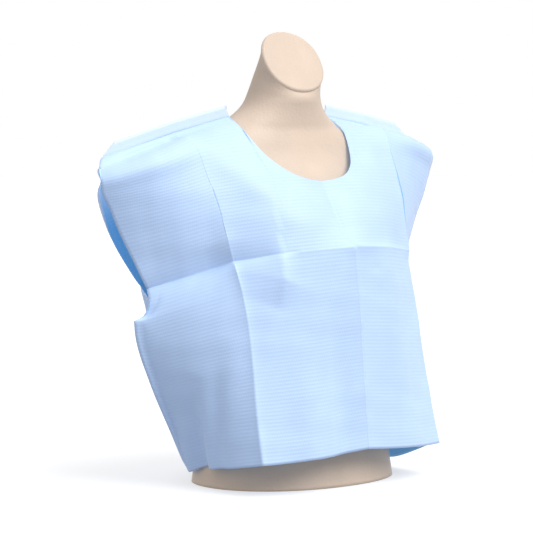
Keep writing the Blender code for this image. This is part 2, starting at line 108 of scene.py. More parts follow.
FRONT_CENTRE = table(
    Hang,
    (0.000, 0.000, -0.016, 0.540),
    (0.035, 0.000, 0.012, 0.516),
    (0.080, 0.000, 0.040, 0.476),
    (0.130, 0.000, 0.067, 0.434),
    (0.180, 0.000, 0.097, 0.391),
    (0.232, 0.000, 0.124, 0.346),
    (0.300, 0.000, 0.131, 0.279),
    (0.380, 0.000, 0.137, 0.202),
    (0.460, 0.000, 0.145, 0.127),
    (0.533, 0.000, 0.152, 0.057),
)
FRONT_COLLAR = table(
    Hang,
    (0.000, 0.0945, -0.035, 0.533),
    (0.035, 0.100, -0.003, 0.516),
    (0.080, 0.097, 0.033, 0.474),
    (0.130, 0.095, 0.064, 0.432),
    (0.180, 0.094, 0.090, 0.388),
    (0.232, 0.091, 0.106, 0.341),
    (0.300, 0.089, 0.120, 0.272),
    (0.380, 0.089, 0.128, 0.196),
    (0.460, 0.090, 0.138, 0.119),
    (0.533, 0.092, 0.149, 0.050),
)
FRONT_QUARTER = table(
    Hang,
    (0.000, 0.186, -0.052, 0.515),
    (0.035, 0.188, -0.018, 0.504),
    (0.055, 0.186, -0.003, 0.490),
    (0.080, 0.183, 0.008, 0.467),
    (0.130, 0.178, 0.027, 0.421),
    (0.180, 0.173, 0.043, 0.376),
    (0.232, 0.169, 0.058, 0.330),
    (0.300, 0.166, 0.082, 0.265),
    (0.380, 0.167, 0.096, 0.188),
    (0.460, 0.171, 0.110, 0.114),
    (0.533, 0.174, 0.126, 0.046),
)
SHOULDER_EDGE = table(
    Hang,
    (0.0000, 0.3020, -0.073, 0.4868),
    (0.0030, 0.3075, -0.069, 0.4836),
    (0.0117, 0.3165, -0.060, 0.4785),
    (0.0289, 0.3255, -0.051, 0.4690),
)
FRONT_ARMHOLE = table(
    Hang,
    (0.050, 0.3285, -0.041, 0.457),
    (0.075, 0.325, -0.043, 0.436),
    (0.115, 0.309, -0.043, 0.400),
    (0.145, 0.296, -0.042, 0.372),
    (0.185, 0.278, -0.035, 0.333),
    (0.232, 0.263, -0.021, 0.290),
    (0.250, 0.261, -0.020, 0.272),
    (0.260, 0.263, -0.021, 0.262),
    (0.268, 0.267, -0.023, 0.254),
    (0.273, 0.273, -0.025, 0.249),
)
BACK_ARMHOLE = table(
    Hang,
    (0.050, 0.3285, -0.045, 0.457),
    (0.075, 0.325, -0.055, 0.437),
    (0.115, 0.309, -0.066, 0.401),
    (0.145, 0.296, -0.071, 0.373),
    (0.185, 0.278, -0.063, 0.333),
    (0.232, 0.263, -0.042, 0.290),
    (0.250, 0.261, -0.0205, 0.272),
    (0.260, 0.263, -0.0215, 0.262),
    (0.268, 0.267, -0.0235, 0.254),
    (0.273, 0.273, -0.0255, 0.249),
)
SIDE_SEAM = table(
    Hang,
    (0.275, 0.281, -0.027, 0.246),
    (0.300, 0.276, -0.030, 0.224),
    (0.380, 0.244, -0.036, 0.153),
    (0.460, 0.207, -0.042, 0.090),
    (0.533, 0.174, -0.047, 0.036),
)
BACK_LAP = table(
    Hang,
    (0.000, -0.010, -0.080, 0.534),
    (0.025, -0.012, -0.093, 0.512),
    (0.080, -0.022, -0.117, 0.463),
    (0.130, -0.034, -0.127, 0.415),
    (0.180, -0.047, -0.133, 0.367),
    (0.232, -0.061, -0.138, 0.317),
    (0.300, -0.080, -0.143, 0.252),
    (0.380, -0.103, -0.147, 0.176),
    (0.460, -0.127, -0.150, 0.101),
    (0.533, -0.150, -0.152, 0.035),
)
BACK_COLLAR = table(
    Hang,
    (0.000, 0.0945, -0.035, 0.533),
    (0.025, 0.097, -0.062, 0.523),
    (0.080, 0.090, -0.104, 0.471),
    (0.130, 0.081, -0.120, 0.422),
    (0.180, 0.070, -0.128, 0.373),
    (0.232, 0.056, -0.134, 0.322),
    (0.300, 0.037, -0.140, 0.256),
    (0.380, 0.009, -0.146, 0.178),
    (0.460, -0.018, -0.150, 0.101),
    (0.533, -0.044, -0.153, 0.032),
)
BACK_QUARTER = table(
    Hang,
    (0.000, 0.186, -0.052, 0.515),
    (0.035, 0.187, -0.087, 0.500),
    (0.080, 0.182, -0.107, 0.461),
    (0.130, 0.175, -0.118, 0.413),
    (0.180, 0.166, -0.126, 0.364),
    (0.232, 0.153, -0.131, 0.313),
    (0.300, 0.130, -0.136, 0.247),
    (0.380, 0.102, -0.140, 0.170),
    (0.460, 0.074, -0.141, 0.094),
    (0.533, 0.048, -0.142, 0.026),
)

Level = namedtuple("Level", "up back power turn")
BACK_LEVELS = table(
    Level,
    (0.010, 0.146, 2.00, 0.95),
    (0.100, 0.147, 2.00, 0.95),
    (0.180, 0.147, 2.00, 0.95),
    (0.250, 0.143, 2.00, 0.95),
    (0.320, 0.138, 2.10, 0.80),
    (0.370, 0.133, 2.20, 0.55),
    (0.415, 0.127, 2.40, 0.42),
    (0.463, 0.117, 2.50, 0.40),
    (0.540, 0.080, 2.50, 0.40),
)
BACK_LEVEL_START = 0.040
BACK_LEVEL_FULL = 0.120
BACK_LEVEL_MIDDLE = 0.030
BACK_LEVEL_SIDE = 0.075

Swell = namedtuple("Swell", "drop out")
FRONT_SWELL = table(
    Swell,
    (0.000, 0.000),
    (0.030, 0.012),
    (0.080, 0.012),
    (0.160, 0.008),
    (0.232, 0.000),
    (0.300, 0.010),
    (0.420, 0.014),
    (0.533, 0.014),
)
BACK_SWELL = table(
    Swell,
    (0.000, 0.000),
    (0.040, 0.012),
    (0.120, 0.014),
    (0.533, 0.014),
)

# ---------------------------------------------------------------- the torso form
Section = namedtuple("Section", "up half_width fore back spine")
TORSO = table(
    Section,
    (0.000, 0.163, 0.122, 0.122, 0.000),
    (0.050, 0.157, 0.113, 0.113, 0.002),
    (0.110, 0.142, 0.099, 0.098, 0.004),
    (0.150, 0.136, 0.094, 0.092, 0.006),
    (0.200, 0.141, 0.099, 0.095, 0.008),
    (0.260, 0.154, 0.110, 0.103, 0.012),
    (0.310, 0.162, 0.114, 0.110, 0.016),
    (0.350, 0.166, 0.106, 0.114, 0.020),
    (0.400, 0.171, 0.076, 0.114, 0.026),
    (0.440, 0.173, 0.053, 0.108, 0.032),
    (0.465, 0.170, 0.038, 0.100, 0.037),
    (0.483, 0.162, 0.030, 0.094, 0.040),
    (0.497, 0.148, 0.026, 0.089, 0.042),
    (0.508, 0.130, 0.023, 0.084, 0.042),
    (0.518, 0.108, 0.021, 0.080, 0.041),
    (0.527, 0.088, 0.021, 0.076, 0.038),
    (0.536, 0.075, 0.022, 0.073, 0.034),
    (0.546, 0.066, 0.024, 0.070, 0.029),
)
NeckRing = namedtuple("NeckRing", "fore fore_up back back_up half_width")
NECK = table(
    NeckRing,
    (0.0255, 0.552, 0.0680, 0.560, 0.0610),
    (0.0260, 0.557, 0.0620, 0.578, 0.0570),
    (0.0255, 0.561, 0.0520, 0.600, 0.0550),
    (0.0245, 0.564, 0.0415, 0.621, 0.0540),
    (0.0235, 0.566, 0.0320, 0.640, 0.0545),
    (0.0225, 0.568, 0.0265, 0.656, 0.0565),
)
SECTION_POWER = 2.15
CAP_ROUND = 0.004
RING_POINTS = 160
RING_STEP = 0.005
NECK_RING_COUNT = 36
BLEND_RINGS = 6  # rings on each side of the collar line that are smoothed
BLEND_PASSES = 24
CAP_STEPS = 8

# ---------------------------------------------------------------- creases and folds
# A crease is a line of stops. Each gives its flat coordinates (across, drop), how far the paper
# stands out there (negative is a trough), and the widths of the two flanks: first the one on the
# wearer's left of a line that runs down, or above a line that runs to the wearer's left, and
# then the other.
PRESSED_FRONT = (
    # the factory folds on the quarters and the centre
    ((-0.1905, 0.036, 0.004, 0.018, 0.022),
     (-0.1905, 0.12, 0.005, 0.018, 0.034),
     (-0.1905, 0.2, 0.007, 0.016, 0.04),
     (-0.1905, 0.226, 0.004, 0.01, 0.018)),
    ((-0.1905, 0.238, 0.003, 0.006, 0.01),
     (-0.1905, 0.34, 0.0026, 0.006, 0.008),
     (-0.1905, 0.533, 0.0024, 0.006, 0.008)),
    ((0.0, 0.118, -0.003, 0.026, 0.02),
     (0.0, 0.2, -0.007, 0.022, 0.016),
     (0.0, 0.228, 0.0, 0.01, 0.01)),
    ((0.0, 0.236, 0.006, 0.01, 0.016),
     (0.0, 0.33, 0.0085, 0.011, 0.022),
     (0.0, 0.533, 0.0075, 0.012, 0.022)),
    ((0.1905, 0.03, 0.006, 0.026, 0.018),
     (0.1905, 0.14, 0.013, 0.034, 0.022),
     (0.1905, 0.225, 0.01, 0.026, 0.02),
     (0.1905, 0.25, 0.005, 0.02, 0.018),
     (0.1905, 0.533, 0.005, 0.02, 0.02)),
    # the fold across
    ((-0.381, 0.232, -0.0125, 0.024, 0.013),
     (-0.24, 0.232, -0.0115, 0.022, 0.012),
     (-0.18, 0.232, -0.009, 0.015, 0.009),
     (-0.092, 0.231, 0.0, 0.007, 0.004)),
    ((0.004, 0.232, 0.0026, 0.005, 0.01),
     (0.1, 0.232, 0.0034, 0.005, 0.013),
     (0.19, 0.232, 0.0026, 0.006, 0.012),
     (0.37, 0.232, -0.005, 0.02, 0.009)),
    # the dented facet under the crossing on the wearer's right
    ((-0.122, 0.238, 0.0085, 0.02, 0.034),
     (-0.126, 0.268, 0.0105, 0.018, 0.036),
     (-0.142, 0.305, 0.0, 0.014, 0.03)),
    # small wrinkles
    ((-0.118, 0.241, -0.001, 0.004, 0.004),
     (-0.06, 0.238, 0.0, 0.004, 0.004)),
    ((-0.222, 0.008, 0.0, 0.004, 0.004),
     (-0.206, 0.012, -0.0022, 0.005, 0.004),
     (-0.192, 0.022, 0.0, 0.004, 0.004)),
    ((0.03, 0.264, 0.0, 0.003, 0.004),
     (0.05, 0.262, -0.0014, 0.004, 0.004),
     (0.072, 0.263, 0.0, 0.003, 0.004)),
)
SOFT_FRONT = (
    # the hollow under the shoulder strip and the roll below it, on both wings
    ((-0.381, 0.015, 0.0, 0.012, 0.012),
     (-0.32, 0.014, -0.006, 0.011, 0.011),
     (-0.21, 0.013, -0.0065, 0.01, 0.01),
     (-0.12, 0.01, 0.0, 0.01, 0.01)),
    ((-0.381, 0.042, 0.0, 0.018, 0.034),
     (-0.28, 0.042, 0.002, 0.016, 0.034),
     (-0.2, 0.038, 0.002, 0.012, 0.024)),
    ((0.381, 0.016, 0.0, 0.012, 0.012),
     (0.31, 0.015, -0.005, 0.011, 0.011),
     (0.21, 0.013, -0.005, 0.01, 0.01),
     (0.12, 0.01, 0.0, 0.01, 0.01)),
    ((0.381, 0.044, 0.003, 0.018, 0.016),
     (0.27, 0.04, 0.005, 0.02, 0.012),
     (0.195, 0.036, 0.002, 0.014, 0.01)),
    # the valley that runs down to the hem by the side seams
    ((-0.29, 0.38, 0.0, 0.02, 0.02),
     (-0.318, 0.45, -0.011, 0.018, 0.022),
     (-0.33, 0.533, -0.017, 0.017, 0.026)),
    ((0.285, 0.39, 0.0, 0.02, 0.02),
     (0.31, 0.46, -0.006, 0.022, 0.018),
     (0.325, 0.533, -0.009, 0.024, 0.018)),
    # broad soft rolls of the lower front
    ((-0.24, 0.33, 0.0, 0.018, 0.018),
     (-0.262, 0.42, -0.006, 0.018, 0.02),
     (-0.28, 0.533, -0.006, 0.02, 0.022)),
    ((-0.11, 0.33, 0.0, 0.03, 0.03),
     (-0.105, 0.44, 0.005, 0.034, 0.034),
     (-0.1, 0.533, 0.007, 0.036, 0.036)),
    ((-0.04, 0.29, 0.0, 0.02, 0.02),
     (-0.044, 0.42, -0.005, 0.024, 0.02),
     (-0.044, 0.533, -0.006, 0.024, 0.02)),
    ((0.085, 0.27, 0.004, 0.032, 0.034),
     (0.095, 0.4, 0.006, 0.034, 0.036),
     (0.105, 0.533, 0.005, 0.036, 0.038)),
    # the chest above the fold: a roll from the shoulder to the crossing, and the hollow beside it
    ((-0.165, 0.07, 0.002, 0.026, 0.022),
     (-0.12, 0.13, 0.005, 0.03, 0.026),
     (-0.07, 0.215, 0.0, 0.03, 0.026)),
    ((-0.225, 0.11, 0.0, 0.02, 0.024),
     (-0.222, 0.17, -0.0015, 0.024, 0.03),
     (-0.235, 0.222, -0.001, 0.024, 0.026)),
    ((-0.155, 0.165, 0.0, 0.018, 0.02),
     (-0.15, 0.215, -0.002, 0.022, 0.022)),
)
# One back half; both have the same creases, and each its own unevenness.
PRESSED_BACK = (
    ((0.1905, 0.04, 0.001, 0.012, 0.012),
     (0.1905, 0.15, 0.0024, 0.016, 0.012),
     (0.1905, 0.533, 0.003, 0.014, 0.014)),
    ((0.075, 0.232, 0.0, 0.01, 0.006),
     (0.15, 0.232, -0.003, 0.014, 0.006),
     (0.3, 0.232, -0.004, 0.018, 0.006),
     (0.381, 0.232, -0.004, 0.02, 0.006)),
)
SOFT_BACK = (
    ((0.381, 0.018, 0.0, 0.012, 0.012),
     (0.3, 0.017, -0.002, 0.012, 0.012),
     (0.23, 0.016, -0.003, 0.011, 0.011),
     (0.12, 0.012, 0.0, 0.01, 0.01)),
    ((0.25, 0.3, 0.0, 0.022, 0.022),
     (0.262, 0.42, -0.005, 0.024, 0.024),
     (0.27, 0.533, -0.008, 0.026, 0.026)),
    ((0.12, 0.26, 0.0, 0.024, 0.024),
     (0.13, 0.4, 0.004, 0.028, 0.028),
     (0.14, 0.533, 0.006, 0.03, 0.03)),
    ((0.215, 0.33, 0.0, 0.02, 0.02),
     (0.225, 0.533, 0.005, 0.024, 0.024)),
)

# The creases fade out toward the shoulder strip and the sealed side lip over these widths.
STRIP_FADE = 0.010
LIP_FADE = 0.022
SEALED_FADE = 0.030
# The paper's own gentle unevenness, and each sheet's seed for it.
COCKLE_SHORTEST, COCKLE_LONGEST, COCKLE_WAVES = 0.035, 0.11, 7
COCKLE_UNIT = 0.1
FRONT_SEED, RIGHT_SEED, LEFT_SEED = 11, 23, 37

# How the bend under the armhole is eased away inside a sheet.
EASE_RUN = 0.014
EASE_END = 0.400
EASE_IN = 0.060
EASE_PASSES = 160

# ---------------------------------------------------------------- mesh density
CELL = 0.0045
FOLD_RUN = (0.001, 0.0026, 0.0048)  # extra rows and columns beside a pressed fold
NECK_STEPS = 26
NECK_LAST = 0.0012  # no column of the neckline lies nearer to the collar
CORNER_STEPS = 12
FOOT_STEPS = 8
FLANGE_STEPS = 5
ROOT_RUN = 0.0008  # an extra row this far above the shoulder strip's root


# ---------------------------------------------------------------- curves through tables
def through(rows, at):
    """The smooth curve through a table: cubic Hermite between rows, with mean slopes at them."""
    table = np.array(rows, float)
    where, value = table[:, 0], table[:, 1:]
    slope = np.gradient(value, where, axis=0)
    at = np.asarray(at, float)
    cell = np.clip(np.searchsorted(where, at, side="right") - 1, 0, len(where) - 2)
    span = (where[cell + 1] - where[cell])[..., None]
    t = (at - where[cell])[..., None] / span
    return (
        (2 * t**3 - 3 * t**2 + 1) * value[cell]
        + (t**3 - 2 * t**2 + t) * span * slope[cell]
        + (3 * t**2 - 2 * t**3) * value[cell + 1]
        + (t**3 - t**2) * span * slope[cell + 1]
    )


def creased(rows, at):
    """As through(), with a corner at the cross fold and, on an edge, at the armhole's tip."""
    at = np.asarray(at, float)
    corners = [row[0] for row in rows if row[0] in (CROSS_FOLD, ARMHOLE_FOOT)]
    starts, ends = [rows[0][0]] + corners, corners + [rows[-1][0]]
    value = through([row for row in rows if row[0] <= ends[0]], at)
    for start, end in list(zip(starts, ends))[1:]:
        part = through([row for row in rows if start <= row[0] <= end], at)
        value = np.where((at > start)[..., None], part, value)
    return value


def smooth_step(value, start, end):
    """0 up to start, 1 from end on, and between them 3s^2 - 2s^3 of the share s of the way."""
    share = np.clip((np.asarray(value) - start) / (end - start), 0, 1)
    return share * share * (3 - 2 * share)


# ---------------------------------------------------------------- the flat sheet's grid
def evenly(start, end):
    """Evenly spaced values from start to end, about one cell apart, without the start."""
    return np.linspace(start, end, max(2, round(abs(end - start) / CELL) + 1))[1:]


def sheet_drops():
    """The drops of a sheet's rows from the shoulder strip's top to the hem.

    They are even, but for equal angles round the sleeve's corner and the armhole's foot, and
    a few close rows beside the fold across."""
    flange = np.append(np.linspace(-FLANGE, 0, FLANGE_STEPS)[:-1], [-ROOT_RUN, 0])
    turns = np.radians(np.linspace(0, 90, CORNER_STEPS + 1)[1:])
    corner = SHOULDER_ROUND * (1 - np.cos(turns))
    run = np.array(FOLD_RUN)
    upper = evenly(SHOULDER_ROUND, CROSS_FOLD - run[-1])
    fold = np.concatenate([CROSS_FOLD - run[-2::-1], [CROSS_FOLD], CROSS_FOLD + run])
    arc_top = ARMHOLE_FOOT - ARMHOLE_RADIUS
    between = evenly(CROSS_FOLD + run[-1], arc_top)
    foot_turns = np.radians(np.linspace(0, 90, FOOT_STEPS + 1)[1:])
    foot = arc_top + ARMHOLE_RADIUS * np.sin(foot_turns)
    lower = evenly(ARMHOLE_FOOT, LENGTH)
    return np.concatenate([flange, corner, upper, fold, between, foot, lower])


def neck_columns(depth, inner_edge):
    """(across, drop) along the neckline to the collar: a superellipse, by equal steps of angle."""
    turns = np.radians(np.linspace(0, 90, NECK_STEPS + 1))
    across = COLLAR * np.sin(turns)
    across = across[across < COLLAR - NECK_LAST]
    across = np.union1d(across, np.array(FOLD_RUN) if inner_edge == 0 else [])
    if inner_edge < 0:
        across = np.concatenate([np.linspace(inner_edge, 0, LAP_COLUMNS)[:-1], across])
    squareness = NECK_SQUARENESS
    share = np.clip(np.abs(across) / COLLAR, 0, 1)
    drop = depth * (1 - share**squareness) ** (1 / squareness)
    return across, np.where(across < 0, depth, drop)


def seam_line(quarter, edge, drop):
    """The line one lip width inside a sheet's outer edge, where the side seam is sealed."""
    outer, crease = creased(edge, drop), creased(quarter, drop)
    run = outer - crease
    along = LIP * run / np.linalg.norm(run, axis=-1, keepdims=True)
    sag = smooth_step(drop, LIP_SAG_START, LENGTH)
    turn = math.radians(LIP_TURN)
    stands_out = LIP * np.stack(
        [0 * sag + math.cos(turn), 0 * sag - math.sin(turn), LIP_SAG * sag], axis=-1
    )
    closed = smooth_step(drop, ARMHOLE_FOOT - ARMHOLE_RADIUS, ARMHOLE_FOOT)[..., None]
    return outer - along * (1 - closed) - stands_out * closed


def middle_points(tables, inner_edge, across, drop):
    """The parabola through the inner edge, collar and quarter lines, straight along the seam."""
    lines = [creased(table, drop) for table in tables]
    s0, s1, s2 = inner_edge, COLLAR, QUARTER
    a = across[..., None]
    parabola = (
        lines[0] * (a - s1) * (a - s2) / ((s0 - s1) * (s0 - s2))
        + lines[1] * (a - s0) * (a - s2) / ((s1 - s0) * (s1 - s2))
        + lines[2] * (a - s0) * (a - s1) / ((s2 - s0) * (s2 - s1))
    )
    share = (a - COLLAR) / (QUARTER - COLLAR)
    straight = lines[1] * (1 - share) + lines[2] * share
    eased = straight + (parabola - straight) * smooth_step(drop, 0, SEAM_EASE)[..., None]
    return np.where(a < COLLAR, parabola, eased)


def outer_points(crease, seam, swell, share):
    """The straight run from quarter crease to seam, plus a swell of 4 s (1 - s) times its size."""
    run = seam - crease
    plan = np.hypot(run[..., 0], run[..., 1])[..., None]
    aside = np.stack([run[..., 1], -run[..., 0], 0 * run[..., 0]], axis=-1) / plan
    away = aside * np.sign((aside * crease).sum(axis=-1))[..., None]
    return crease + run * share + away * swell * 4 * share * (1 - share)


def half_sheet(tables, swell, inner_edge, depth, taper):
    """A half sheet as points (out, fore, up) and flat coordinates, rows by columns.

    Above the neckline there is no paper beside the shoulder strip, and those points are NaN."""
    inner, collar, quarter, edge = tables
    drops = sheet_drops()
    neck_across, start = neck_columns(depth, inner_edge)
    squeezed = start + drops[:, None] * (CROSS_FOLD - start) / CROSS_FOLD
    neck_drops = np.where(drops[:, None] < CROSS_FOLD, squeezed, drops[:, None])
    neck_spread = np.broadcast_to(neck_across, neck_drops.shape)
    neck = middle_points((inner, collar, quarter), inner_edge, neck_spread, neck_drops)
    neck[drops < 0] = np.nan

    below = np.maximum(drops, 0)
    lift = np.maximum(-drops, 0)[:, None, None] * np.array([0, 0, 1])
    strip = np.clip(-drops / FLANGE, 0, 1)[:, None]
    run = np.array(FOLD_RUN)
    between = evenly(COLLAR, QUARTER - run[-1])
    middle_across = np.concatenate([[COLLAR], between, QUARTER - run[-2::-1]])
    spread, middle_drops = np.meshgrid(np.append(middle_across, QUARTER), below)
    middle = middle_points((inner, collar, quarter), inner_edge, spread, middle_drops) + lift
    inward = creased(quarter, [0])[0] - creased(collar, [0])[0]
    middle[:, 0] += strip * NECK_TAPER * inward / np.linalg.norm(inward)

    reach = HALF_WIDTH - LIP - QUARTER
    outer_across = np.concatenate([run, evenly(run[-1], reach)])
    crease = creased(quarter, below)[:, None]
    seam_run = np.linalg.norm(creased(edge, [0])[0] - crease[0, 0])
    kept = (1 - strip * taper / seam_run)[:, None]
    seam = crease + (seam_line(quarter, edge, below)[:, None] - crease) * kept
    bulge = through(swell, below)[:, None]
    outer = outer_points(crease, seam, bulge, (outer_across / reach)[None, :, None]) + lift
    heading = seam - outer_points(crease, seam, bulge, np.array([1 - LIP_LOOK])[None, :, None])
    onward = seam + LIP * heading / np.linalg.norm(heading, axis=-1, keepdims=True)
    closed = smooth_step(below, ARMHOLE_FOOT - ARMHOLE_RADIUS, ARMHOLE_FOOT)[:, None, None]
    open_rim = np.where(strip[:, None] > 0, 1, closed)
    rim = crease + (creased(edge, below)[:, None] - crease) * kept
    rim = onward + (rim - onward) * open_rim + lift
    lip = seam + lift + (rim - seam - lift) * np.array([0.5, 1])[None, :, None]

    points = np.concatenate([neck, middle, outer, lip], axis=1)
    lip_across = np.array([HALF_WIDTH - LIP / 2, HALF_WIDTH])
    outer_all = np.concatenate([middle_across, [QUARTER], QUARTER + outer_across, lip_across])
    tail_spread, tail_drops = np.meshgrid(outer_all, drops)
    flat = np.stack(
        [
            np.concatenate([neck_spread, tail_spread], axis=1),
            np.concatenate([neck_drops, tail_drops], axis=1),
        ],
        axis=-1,
    )
    return points, flat


def placed(points, side):
    """Points (out, fore, up) as x, y, z for one side."""
    out, fore, up = points[..., 0], points[..., 1], points[..., 2]
    inner_end, outer_end = FRONT_COLLAR[0].out, SHOULDER_EDGE[0].out
    reach = np.clip((out - inner_end) / (outer_end - inner_end), 0, 1)
    lift = side.lift * reach * smooth_step(up, LIFT_START, LIFT_FULL)
    shift = side.fore * reach * smooth_step(up, FORE_START, FORE_FULL)
    beside = smooth_step(-fore, *DIP_FRONT) * (1 - smooth_step(-fore, *DIP_BACK))
    beside = beside * smooth_step(out, *DIP_OUT)
    dip = side.dip * beside * (1 - smooth_step(up, DIP_FULL, DIP_START))
    return np.stack([side.sign * out, -fore - shift, up + lift - dip], axis=-1)


def grid_normals(grid):
    """The outward unit normal at each point: the mean of the neighbouring cells' normals."""
    across = grid[:-1, 1:] - grid[1:, :-1]
    down = grid[1:, 1:] - grid[:-1, :-1]
    cells = np.cross(down, across)
    cells = np.nan_to_num(cells / np.linalg.norm(cells, axis=2, keepdims=True))
    total = np.zeros_like(grid)
    for rows in (slice(None, -1), slice(1, None)):
        for columns in (slice(None, -1), slice(1, None)):
            total[rows, columns] += cells
    return total / np.maximum(np.linalg.norm(total, axis=2, keepdims=True), 1e-9)


def fold_height(flat, stops, pressed):
    """How far one crease lifts the paper: height times a falloff of distance over flank width.

    The falloff is exp(-d) for a pressed fold, which has a sharp top, and exp(-d^2) for a soft
    roll. Height and flank widths run evenly from stop to stop."""
    stops = np.array(stops)
    start, run = stops[:-1], stops[1:] - stops[:-1]
    offset = flat[..., None, :] - start[:, :2]
    length = (run[:, :2] ** 2).sum(axis=-1)
    share = np.clip((offset * run[:, :2]).sum(axis=-1) / length, 0, 1)
    miss = offset - share[..., None] * run[:, :2]
    gap = np.linalg.norm(miss, axis=-1)
    side = run[:, 0] * offset[..., 1] - run[:, 1] * offset[..., 0]
    nearest = gap.argmin(axis=-1)[..., None]

    def picked(values):
        return np.take_along_axis(values, nearest, axis=-1)[..., 0]

    height = picked(start[:, 2] + run[:, 2] * share)
    near = picked(start[:, 3] + run[:, 3] * share)
    far = picked(start[:, 4] + run[:, 4] * share)
    distance = picked(gap) / np.where(picked(side) < 0, near, far)
    return height * np.exp(-distance if pressed else -(distance**2))


def fold_heights(flat, pressed, soft):
    """The sum of all the creases of a sheet."""
    total = sum(fold_height(flat, stops, True) for stops in pressed)
    return total + sum(fold_height(flat, stops, False) for stops in soft)


def cockle(flat, size, seed):
    """A gentle unevenness of the paper: a few crossed sine waves of random direction and phase."""
    random = np.random.default_rng(seed)
    total = np.zeros(flat.shape[:2])
    for wave in random.uniform(COCKLE_SHORTEST, COCKLE_LONGEST, COCKLE_WAVES):
        turn, phase = random.uniform(0, math.tau, 2)
        along = flat[..., 0] * math.cos(turn) + flat[..., 1] * math.sin(turn)
        total += wave / COCKLE_UNIT * np.sin(math.tau * along / wave + phase)
    return size * total


def front_sheet_grid(settings):
    """The front sheet's middle surface and flat coordinates, wearer's right edge to left edge."""
    tables = (FRONT_CENTRE, FRONT_COLLAR, FRONT_QUARTER, SHOULDER_EDGE + FRONT_ARMHOLE + SIDE_SEAM)
    right, flat = half_sheet(tables, FRONT_SWELL, 0.0, NECK_DEPTH, RIGHT.taper)
    left, flat = half_sheet(tables, FRONT_SWELL, 0.0, NECK_DEPTH, LEFT.taper)
    mirrored = flat * np.array([-1, 1])
    grid = np.concatenate([placed(right, RIGHT)[:, ::-1], placed(left, LEFT)[:, 1:]], axis=1)
    flat = np.concatenate([mirrored[:, ::-1], flat[:, 1:]], axis=1)
    grid[:, :, 1] -= SEAM_GAP / 2
    return creased_grid(grid, flat, PRESSED_FRONT, SOFT_FRONT, settings, FRONT_SEED)


def edge_hold(flat):
    """1 on the open sheet and 0 along the sealed shoulder strip and side lip, where it is flat."""
    strip = smooth_step(flat[..., 1], 0, STRIP_FADE)
    lip = smooth_step(HALF_WIDTH - np.abs(flat[..., 0]), LIP, LIP + LIP_FADE)
    sealed = smooth_step(flat[..., 1], ARMHOLE_FOOT - SEALED_FADE, ARMHOLE_FOOT)
    return strip * (1 - (1 - lip) * sealed)


def eased_below_fold(grid, flat):
    """The grid with the bend at the armhole's foot eased away inside the sheet.

    Each point moves half way to the chord between the points above and below it, many times,
    but not on the fold across, on the lip or beyond EASE_END."""
    grid = grid.copy()
    across, drop = np.abs(flat[1:-1, :, 0]), flat[1:-1, :, 1]
    share = smooth_step(drop, CROSS_FOLD, CROSS_FOLD + EASE_RUN)
    share = share * (1 - smooth_step(drop, EASE_END - EASE_RUN, EASE_END))
    share = share * smooth_step(HALF_WIDTH - across, LIP, LIP + EASE_IN)
    t = ((drop - flat[:-2, :, 1]) / (flat[2:, :, 1] - flat[:-2, :, 1]))[..., None]
    share = np.where(np.isnan(grid[1:-1, :, 0]), 0, share)[..., None] / 2
    for _ in range(EASE_PASSES):
        chord = grid[:-2] * (1 - t) + grid[2:] * t
        grid[1:-1] = np.where(share > 0, grid[1:-1] + share * (chord - grid[1:-1]), grid[1:-1])
    return grid


def creased_grid(grid, flat, pressed, soft, settings, seed):
    """Moves a grid to the middle of the CAD wall and adds the creases along its normals."""
    grid = eased_below_fold(grid, flat)
    lift = fold_heights(flat, pressed, soft) * settings.fold_strength
    lift += cockle(flat, settings.cockle, seed)
    move = WALL / 2 + lift * edge_hold(flat)
    return grid + grid_normals(grid) * move[..., None], flat


def back_bow(out, up, seam):
    """How far back the level section stands: middle to side edge as (1 - share^power)^turn."""
    order = np.argsort(seam[:, 2])
    end_out = np.interp(up, seam[order, 2], seam[order, 0])
    end_back = -np.interp(up, seam[order, 2], seam[order, 1])
    middle, power, turn = np.moveaxis(through(BACK_LEVELS, up), -1, 0)
    share = np.clip(np.abs(out) / end_out, 0, 1)
    return end_back + (middle - end_back) * (1 - share**power) ** turn


def back_sheet_grid(side, settings):
    """One back half's middle surface and flat coordinates, from the wearer's left to the right."""
    tables = (BACK_LAP, BACK_COLLAR, BACK_QUARTER, SHOULDER_EDGE + BACK_ARMHOLE + SIDE_SEAM)
    points, flat = half_sheet(tables, BACK_SWELL, -LAP, BACK_NECK_DEPTH, side.taper)
    seam = seam_line(tables[2], tables[3], np.linspace(SHOULDER_ROUND, LENGTH, SEAM_SAMPLES))
    drops = sheet_drops()[:, None]
    sheet = points[:, :-2]
    low = smooth_step(drops, BACK_LEVEL_START, BACK_LEVEL_FULL)
    near_middle = 1 - smooth_step(np.abs(sheet[..., 0]), BACK_LEVEL_MIDDLE, BACK_LEVEL_SIDE)
    bowed = np.maximum(low, near_middle)
    bow = back_bow(sheet[..., 0], sheet[..., 2], seam)
    sheet[..., 1] = sheet[..., 1] * (1 - bowed) - bow * bowed
    lip_root = sheet[:, -1]
    points[:, -2] = (lip_root + points[:, -1]) / 2
    grid = placed(points, side)
    grid[:, :, 1] += SEAM_GAP / 2
    if side is RIGHT:
        return creased_grid(grid, flat, PRESSED_BACK, SOFT_BACK, settings, RIGHT_SEED)
    lap_line = creased(BACK_LAP, np.linspace(0, LENGTH, SEAM_SAMPLES))[::-1]
    lapped = np.interp(grid[:, :, 2], lap_line[:, 2], -lap_line[:, 0])
    over = 1 - smooth_step(grid[:, :, 0] - lapped, LAP_STEP_START, LAP_STEP_END)
    over[:, -2:] = 0
    grid, flat, over = grid[:, ::-1], flat[:, ::-1], over[:, ::-1]
    grid = grid + grid_normals(grid) * (LAP_STEP * over)[..., None]
    return creased_grid(grid, flat, PRESSED_BACK, SOFT_BACK, settings, LEFT_SEED)


